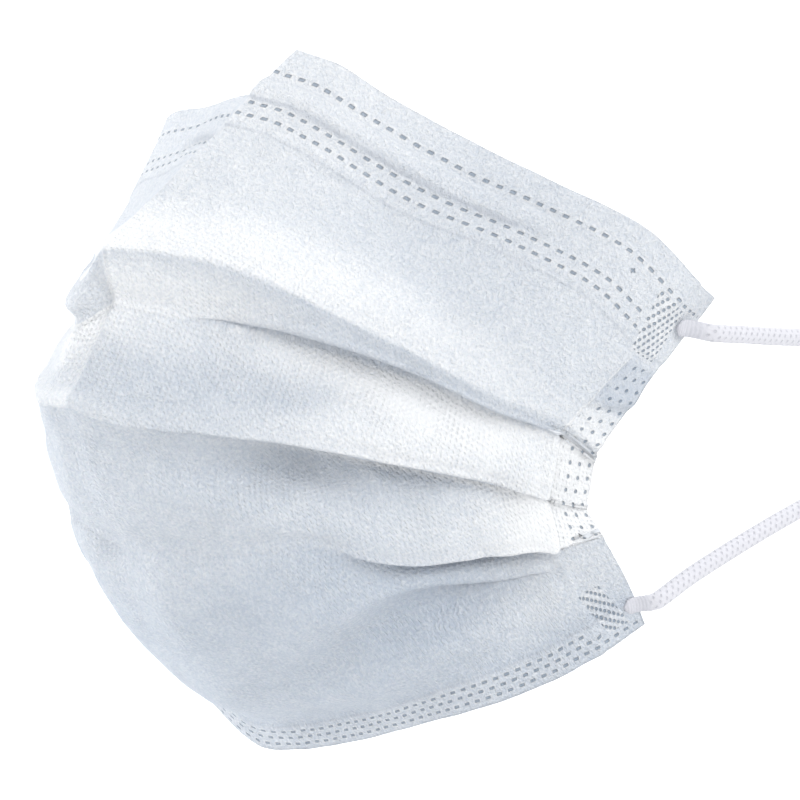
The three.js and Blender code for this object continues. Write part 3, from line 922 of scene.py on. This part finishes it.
def chin_painted_shading(s, from_bottom):
    """Painted light and shade on the chin: painted shade over all of it, painted light at its outer
    ends, and more painted shade along its valley.
    """
    chin = from_bottom.falls(36, 52)
    outer_end_painted_light = abs(s).rises(48, 72) * from_bottom.rises(4, 12)
    valley = (from_bottom.rises(11, 18) * from_bottom.falls(22, 30)
              * abs(s).rises(30, 52) * abs(s).falls(68, 80))
    return (chin * (outer_end_painted_light * WHITENESS["chin_ends_painted_light"] + WHITENESS["chin"])
            + valley * WHITENESS["chin_valley_painted_shade"])


def pressed_line_shade(s, from_top, from_bottom):
    """Painted shade in the creases along both sides of the nose wire and along the inner edge of each
    hem.
    """
    from_wire = from_top - WIRE["from_edge"]
    lower, upper = WIRE["width"] / 2 + 0.3, -WIRE["width"] / 2 - 0.2
    wire_line_shade = (dash(s, from_wire - lower, WIRE["half_length"] * 2 - 8, 0.6, 0.25)
                  + dash(s, from_wire - upper, 56, 0.35, 0.2) * 0.5)
    hem_line_shade = (abs(from_top - TOP_HEM).falls(0.1, 0.3)
                 + abs(from_bottom - BOTTOM_HEM).falls(0.1, 0.3))
    return wire_line_shade * DARKENING["wire_line_shade"] + hem_line_shade * DARKENING["hem_line_shade"]


def outer_cloth():
    """Embossed nonwoven cloth with its welds, pressed creases and fibres, and painted light and
    shade.
    """
    finish = Finish("outer_cloth", 0.88, Sheen_Weight=0.08)
    s, from_top = finish.map("from_top")
    from_side, from_bottom = finish.map("from_bottom")
    fall = finish.map("fall")[1]
    marks, weld_rims_and_patches = seam_marks(s, from_top, from_side, from_bottom, fall)
    fibres = finish.noise(0.0005, 3, roughness=0.7)
    clumps = finish.noise(0.0022, 4)
    dimples = embossing(finish, s, fall, fibres)
    # How much whiter the cloth is, from the cloth behind it and from painted light and shade.
    layers = finish.add("ShaderNodeAttribute", {"attribute_name": "layers"}, output="Fac")
    hem_top = from_top.falls(TOP_HEM - 0.15, TOP_HEM + 0.15)
    hem_bottom = from_bottom.falls(BOTTOM_HEM - 0.15, BOTTOM_HEM + 0.15)
    width, border = WELDS["strip"]["width"], STRIP["border"]
    strip = (from_side.falls(width - 0.2, width + 0.2) * from_top.rises(*STRIP["begins"])
             * from_bottom.rises(*STRIP["ends"]))
    # Painted shade on the top of each side strip, which bends away from the light.
    strip_top_shade = strip * from_top.falls(*STRIP["strip_top_shade_to"])
    beside = dash(from_side - width, from_top - border["middle"], border["width"],
                  border["length"], 0.15)
    white = WHITENESS["plain"] + chin_painted_shading(s, from_bottom)
    # The paler rims round the hem welds are painted highlight.
    for name, here in (("layers", layers), ("top_hem", hem_top), ("bottom_hem", hem_bottom),
                       ("strip", strip), ("strip_border", beside), ("weld_rims_and_patches", weld_rims_and_patches)):
        white = white + here * WHITENESS[name]
    white = (white * (1 - strip_top_shade * WHITENESS["strip_top_shade_loses"])
             + (clumps - 0.5) * WHITENESS["clumps"] + (fibres - 0.5) * WHITENESS["fibres"])
    colour = finish.mix(white.at_most(1).at_least(0), (*CLOTH_COLOURS["single_and_shaded"], 1),
                        (*CLOTH_COLOURS["backed_and_lit"], 1))
    # Painted shade in the embossed dimples, on the strip tops and in the creases beside the wire and
    # along the hems.
    painted_shade = (dimples * DARKENING["dimples"] + strip_top_shade * DARKENING["strip_top_shade"]
               + pressed_line_shade(s, from_top, from_bottom))
    colour = finish.mix(painted_shade, colour, (*CLOTH_COLOURS["crease"], 1))
    # The weld marks, darker in their pits: the weld's own mark with painted shade in the pit.
    colour = finish.mix(marks * DARKENING["pits"], colour, (*CLOTH_COLOURS["pit"], 1))
    finish.show("Base Color", colour)
    height = (0.55 - marks * 0.5 - dimples * 0.35 + (fibres - 0.5) * (1.15 - layers * 0.4)
              + (clumps - 0.5) * 0.4 + beside * 0.15)
    finish.raise_by(height, 0.0008)
    return finish.material


def inner_cloth():
    finish = Finish("inner_cloth", 0.9, Sheen_Weight=0.08)
    fibres = finish.noise(0.0006, 4, roughness=0.65)
    clumps = finish.noise(0.003, 4)
    # Darker than the white lining really is: painted shade, so that where it shows along the fold
    # edges it has the tone of the shaded cloth.
    colour = finish.mix(clumps * 0.5 + fibres * 0.3, (0.62, 0.65, 0.69, 1), (0.74, 0.76, 0.79, 1))
    finish.show("Base Color", colour)
    finish.raise_by(fibres * 0.6 + clumps * 0.4, 0.00012)
    return finish.material


def coated_wire():
    finish = Finish("coated_wire", 0.45)
    grain = finish.noise(0.002, 3)
    finish.show("Base Color", finish.mix(grain, (0.82, 0.83, 0.84, 1), (0.88, 0.88, 0.88, 1)))
    return finish.material


def pale_floor():
    finish = Finish("pale_floor", 0.9)
    grain = finish.noise(0.4, 2)
    finish.show("Base Color", finish.mix(grain, (0.89, 0.89, 0.89, 1), (0.91, 0.91, 0.91, 1)))
    return finish.material


def braided_elastic(length):
    """Round braided elastic: slanting strands that cross, pressed to fine ribs at both ends."""
    finish = Finish("braided_elastic", 0.8, Sheen_Weight=0.1)
    around, along = finish.map("cord")
    strand = 2 * math.pi / BRAID["pitch"]
    turn = around * (2 * math.pi * BRAID["strands"])
    one = (turn + along * strand).sine()
    two = (turn - along * strand).sine()
    gaps = one.rises(0.4, 1) * two.rises(-0.3, 0.8)
    fibres = finish.noise(0.0004, 3)
    pressed = along.falls(3, 4) + along.rises(length - 4, length - 3)
    ribs = (along * (2 * math.pi / BRAID["rib"])).sine() * pressed
    # The gaps between the strands are darkened as painted shade, as well as sunk in the relief.
    colour = finish.mix(gaps * (1 - pressed) * 0.34 + fibres * 0.26 + ribs * 0.06 + pressed * 0.2,
                        (0.68, 0.675, 0.715, 1), (0.36, 0.38, 0.44, 1))
    finish.show("Base Color", colour)
    finish.raise_by(fibres * 0.4 - gaps * (1 - pressed) * 0.4 + ribs * 0.08, 0.0003)
    return finish.material


# ---- the part ----
def curve_points(route, spacing):
    """Points along a smooth line through the route."""
    route = np.array(route)
    ends = np.vstack([2 * route[0] - route[1], route, 2 * route[-1] - route[-2]])
    made = []
    for a, b, c, d in zip(ends, ends[1:], ends[2:], ends[3:]):
        steps = max(2, round(float(np.linalg.norm(c - b)) / spacing))
        for t in np.arange(steps) / steps:
            made.append(0.5 * (2 * b + (c - a) * t + (2 * a - 5 * b + 4 * c - d) * t * t
                               + (3 * b - a - 3 * c + d) * t ** 3))
    made.append(route[-1])
    return np.array(made)


def distance_along(path):
    """Distance of each of the path's points from its start."""
    steps = np.linalg.norm(np.diff(path, axis=0), axis=1)
    return np.concatenate([[0], np.cumsum(steps)])


def welded_flat(path, distance, offset, facing, sinks):
    """Path and ring offsets with the end that distance is measured from pressed onto the cloth."""
    round_share = smooth(LOOP_WELD["flat"], LOOP_WELD["round"], distance / MM)[:, None]
    along_tip = np.clip(distance / MM / LOOP_WELD["tip"], 0.03, 1)
    tip_width = np.sqrt(1 - (1 - along_tip) ** 2)[:, None, None]
    path = path - facing * sinks * MM * (1 - round_share)
    thick = (offset @ facing)[..., None] * facing
    wide = offset - thick
    share = round_share[..., None]
    thick = thick * (LOOP_WELD["thickness"] + (1 - LOOP_WELD["thickness"]) * share)
    return path, thick + wide * tip_width


def cord_rings(path, side):
    """The cord's path with its ends drawn onto the cloth, and the rings of points round it."""
    turn = 2 * math.pi * np.arange(CORD_SIDES + 1) / CORD_SIDES
    offset = np.empty((len(path), CORD_SIDES + 1, 3))
    normal = Vector((side, 0, 0))
    for i in range(len(path)):
        ahead = Vector(path[min(i + 1, len(path) - 1)] - path[max(i - 1, 0)]).normalized()
        normal = (normal - ahead * normal.dot(ahead)).normalized()
        offset[i] = (np.outer(np.cos(turn), normal)
                     + np.outer(np.sin(turn), ahead.cross(normal))) * CORD_DIAMETER / 2
    distance = distance_along(path)
    for end, measured in (("top", distance), ("bottom", distance[-1] - distance)):
        weld = LOOP_WELD[end]
        facing = unit(np.array(weld["facing"]) * (side, 1, 1))
        path, offset = welded_flat(path, measured, offset, facing, weld["sinks"])
    return path, path[:, None] + offset


def close_cord():
    """Join the seam along the cord that is selected and cap its ends."""
    bpy.ops.object.mode_set(mode="EDIT")
    bpy.ops.mesh.select_all(action="SELECT")
    bpy.ops.mesh.remove_doubles(threshold=0.00001)
    bpy.ops.mesh.select_all(action="DESELECT")
    bpy.ops.mesh.select_non_manifold()
    bpy.ops.mesh.edge_face_add()
    bpy.ops.mesh.select_all(action="SELECT")
    bpy.ops.mesh.normals_make_consistent(inside=False)
    bpy.ops.object.mode_set(mode="OBJECT")
    bpy.ops.object.shade_smooth()


def ear_loop(side_name, side, path, finish):
    path = path * (side, 1, 1)
    distance = distance_along(path)
    path, rings = cord_rings(path, side)
    around, along = np.meshgrid(np.arange(CORD_SIDES + 1) / CORD_SIDES, distance / MM)
    piece, _, _ = grid_piece("ear_cord_" + side_name, rings, {"cord": (around, along)})
    close_cord()
    piece.data.materials.append(finish)
    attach(piece, "root")
    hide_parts("ear_loop_" + side_name)


studio_camera()
loop_path = curve_points(EAR_LOOP_ROUTE, CORD_SPACING)
elastic = braided_elastic(distance_along(loop_path)[-1] / MM)
for side_name, side in (("left", 1), ("right", -1)):
    ear_loop(side_name, side, loop_path, elastic)

outer, inner = outer_cloth(), inner_cloth()
cloth = cloth_surface()
body = mask_body(cloth, outer, inner)
linings = hem_linings(cloth, inner)
for piece in (body, *linings):
    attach(piece, "root")
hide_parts("mask_body")
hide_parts("top_hem")
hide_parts("bottom_hem")
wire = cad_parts["nose_wire"]
wire.data.materials.clear()
wire.data.materials.append(coated_wire())

studio_floor()
studio_world((0.98, 0.99, 1.0), 0.88)
studio_light("key_softbox", (1.1, -0.3, 0.9), (0, 0, -0.05), 1.2, 11.5)
studio_light("side_softbox", (-1.15, -0.75, -0.2), (0, 0, -0.05), 1.2, 13)
studio_light("backdrop_light", (-0.5, 0.6, 1.3), (-1.9, 2.2, -0.2), 1.5, 60)
scene.view_settings.view_transform = "Standard"
